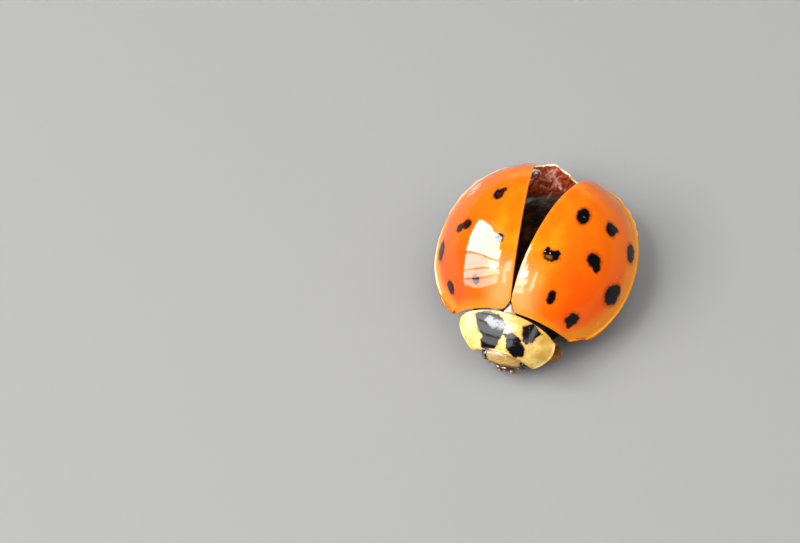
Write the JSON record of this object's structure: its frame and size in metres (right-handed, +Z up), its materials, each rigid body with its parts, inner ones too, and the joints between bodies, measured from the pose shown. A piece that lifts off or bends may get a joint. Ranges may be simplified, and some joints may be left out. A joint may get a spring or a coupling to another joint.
{
  "type": "ladybird",
  "caption": "Life-size ladybird with spotted orange wing cases sprung slightly open over crumpled flying wings, standing low on tucked legs.",
  "frame": {"origin": "middle of the whole ladybird's box, on the floor under its feet", "axes": "the head faces -Y, the ladybird's own left is +X, and +Z is up"},
  "size_m": [0.0066, 0.0076, 0.0039],
  "materials": {
    "wing_case": "gloss",
    "pronotum": "gloss",
    "face": "satin",
    "dark_shell": "satin",
    "belly": "satin",
    "flying_wing": "satin",
    "eyes": "gloss",
    "mouthparts": "satin",
    "feelers": "satin",
    "legs": "satin"
  },
  "bodies": {
    "root": {"abdomen": "belly", "antenna_left": "feelers", "antenna_right": "feelers", "elytron_left": "wing_case", "elytron_right": "wing_case", "eye_left": "eyes", "eye_right": "eyes", "femur_fore_left": "legs", "femur_fore_right": "legs", "femur_hind_left": "legs", "femur_hind_right": "legs", "femur_mid_left": "legs", "femur_mid_right": "legs", "head": "face", "labrum": "mouthparts", "mandible_left": "mouthparts", "mandible_right": "mouthparts", "palp_left": "feelers", "palp_right": "feelers", "pronotum": "pronotum", "prothorax": "dark_shell", "scutellum": "dark_shell", "tarsus_fore_left": "legs", "tarsus_fore_right": "legs", "tarsus_hind_left": "legs", "tarsus_hind_right": "legs", "tarsus_mid_left": "legs", "tarsus_mid_right": "legs", "thorax": "dark_shell", "tibia_fore_left": "legs", "tibia_fore_right": "legs", "tibia_hind_left": "legs", "tibia_hind_right": "legs", "tibia_mid_left": "legs", "tibia_mid_right": "legs", "wing_left": "flying_wing", "wing_right": "flying_wing"}
  },
  "joints": []
}
